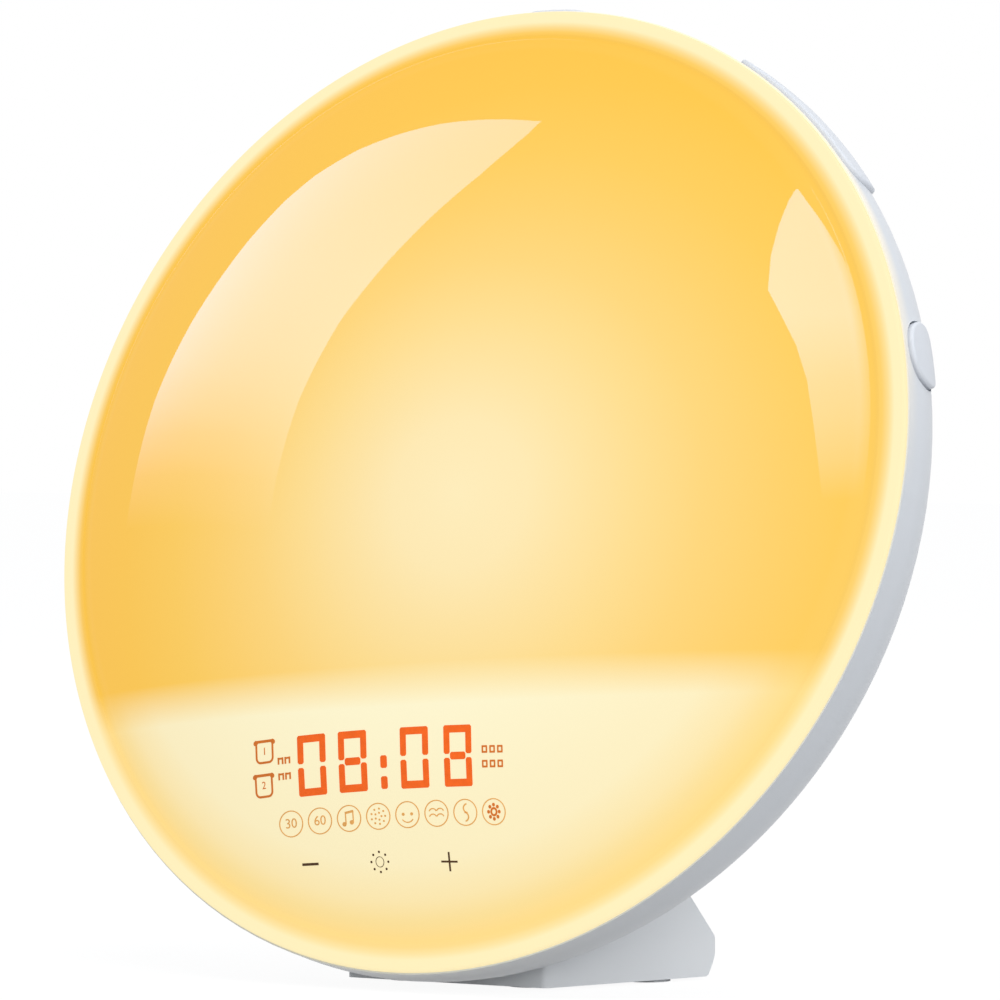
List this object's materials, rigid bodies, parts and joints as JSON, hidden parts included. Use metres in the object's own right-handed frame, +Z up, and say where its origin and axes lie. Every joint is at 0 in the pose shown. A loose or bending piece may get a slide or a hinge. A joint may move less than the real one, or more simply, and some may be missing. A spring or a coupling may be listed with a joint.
{
  "type": "sunrise alarm clock",
  "caption": "Round bedside wake-up light with a domed glowing face, a digital clock low in the face, touch marks, rim keys, and a wedge foot that leans it back.",
  "frame": {"origin": "on the table, under the middle of the whole clock", "axes": "+X to the right seen from the front, +Y backwards, +Z up"},
  "size_m": [0.1706, 0.0704, 0.1671],
  "materials": {
    "diffuser_plastic": "glossy, lit from behind",
    "white_plastic": "matt",
    "case_plastic": "satin gloss",
    "foot_plastic": "satin",
    "key_plastic": "satin gloss",
    "rubber": "matt",
    "steel": "plated",
    "circuit_board": "solder mask",
    "light_board_white": "white solder mask",
    "lamp_light": "clear resin over phosphor",
    "black_plastic": "matt",
    "display_black": "matt",
    "chip_black": "matt",
    "foam": "soft",
    "capacitor_sleeve": "shrink sleeve",
    "brass": "plated",
    "speaker_steel": "painted",
    "speaker_paper": "paper",
    "magnet": "ferrite",
    "wire_sleeve": "smooth"
  },
  "bodies": {
    "clock": {"front_diffuser": "diffuser_plastic", "light_tray": "white_plastic", "rear_shell": "case_plastic", "rocker_brackets": "steel", "rocker_pins": "steel", "single_key_boards": "circuit_board", "rocker_boards": "circuit_board", "tact_switches": "black_plastic", "switch_buttons": "black_plastic", "key_board_screws": "steel", "light_board": "light_board_white", "light_leds": "lamp_light", "light_partition": "white_plastic", "display_board": "circuit_board", "display_module": "display_black", "symbol_guide": "display_black", "symbol_leds": "lamp_light", "touch_pads": "foam", "main_board": "circuit_board", "clock_chip": "chip_black", "radio_can": "steel", "amplifier_chips": "chip_black", "capacitors": "capacitor_sleeve", "header_pins": "brass", "main_board_screws": "steel", "case_screws": "steel", "foot_screws": "steel", "speaker_gasket": "foam", "speaker_basket": "speaker_steel", "speaker_cone": "speaker_paper", "speaker_magnet": "magnet", "speaker_wires": "wire_sleeve", "power_socket": "black_plastic", "socket_pin": "brass", "aerial_grommet": "rubber", "battery_holder": "black_plastic", "coin_cell": "steel", "cell_contact": "brass", "stand_foot": "foot_plastic", "rubber_feet": "rubber"},
    "clock_key": {"clock_key": "key_plastic"},
    "light_key": {"light_key": "key_plastic"},
    "snooze_key": {"snooze_key": "key_plastic"},
    "alarm_rocker": {"alarm_rocker": "key_plastic"},
    "volume_rocker": {"volume_rocker": "key_plastic"},
    "battery_door": {"battery_door": "case_plastic"}
  },
  "joints": [
    {"name": "clock_key_press", "type": "slide", "parent": "clock", "child": "clock_key", "axis": [-0.9563, -0.0825, -0.2805], "range_m": [0, 0.0005], "stiffness_N_per_m": 700, "springref_m": -0.0008},
    {"name": "light_key_press", "type": "slide", "parent": "clock", "child": "light_key", "axis": [0.9563, -0.0825, -0.2805], "range_m": [0, 0.0005], "stiffness_N_per_m": 700, "springref_m": -0.0008},
    {"name": "snooze_key_press", "type": "slide", "parent": "clock", "child": "snooze_key", "axis": [0, -0.2823, -0.9593], "range_m": [0, 0.0005], "stiffness_N_per_m": 700, "springref_m": -0.0008},
    {"name": "alarm_rocker_rock", "type": "hinge", "parent": "clock", "child": "alarm_rocker", "pos_m": [0.04752, 0.01766, 0.14059], "axis": [0, -0.9593, 0.2823], "range_deg": [-1, 1], "stiffness_Nm_per_rad": 1.5},
    {"name": "volume_rocker_rock", "type": "hinge", "parent": "clock", "child": "volume_rocker", "pos_m": [-0.04752, 0.01766, 0.14059], "axis": [0, -0.9593, 0.2823], "range_deg": [-1, 1], "stiffness_Nm_per_rad": 1.5},
    {"name": "battery_door_turn", "type": "hinge", "parent": "clock", "child": "battery_door", "pos_m": [-0.025, 0.00922, 0.04722], "axis": [0, -0.9593, 0.2823], "range_deg": [0, 60]}
  ]
}
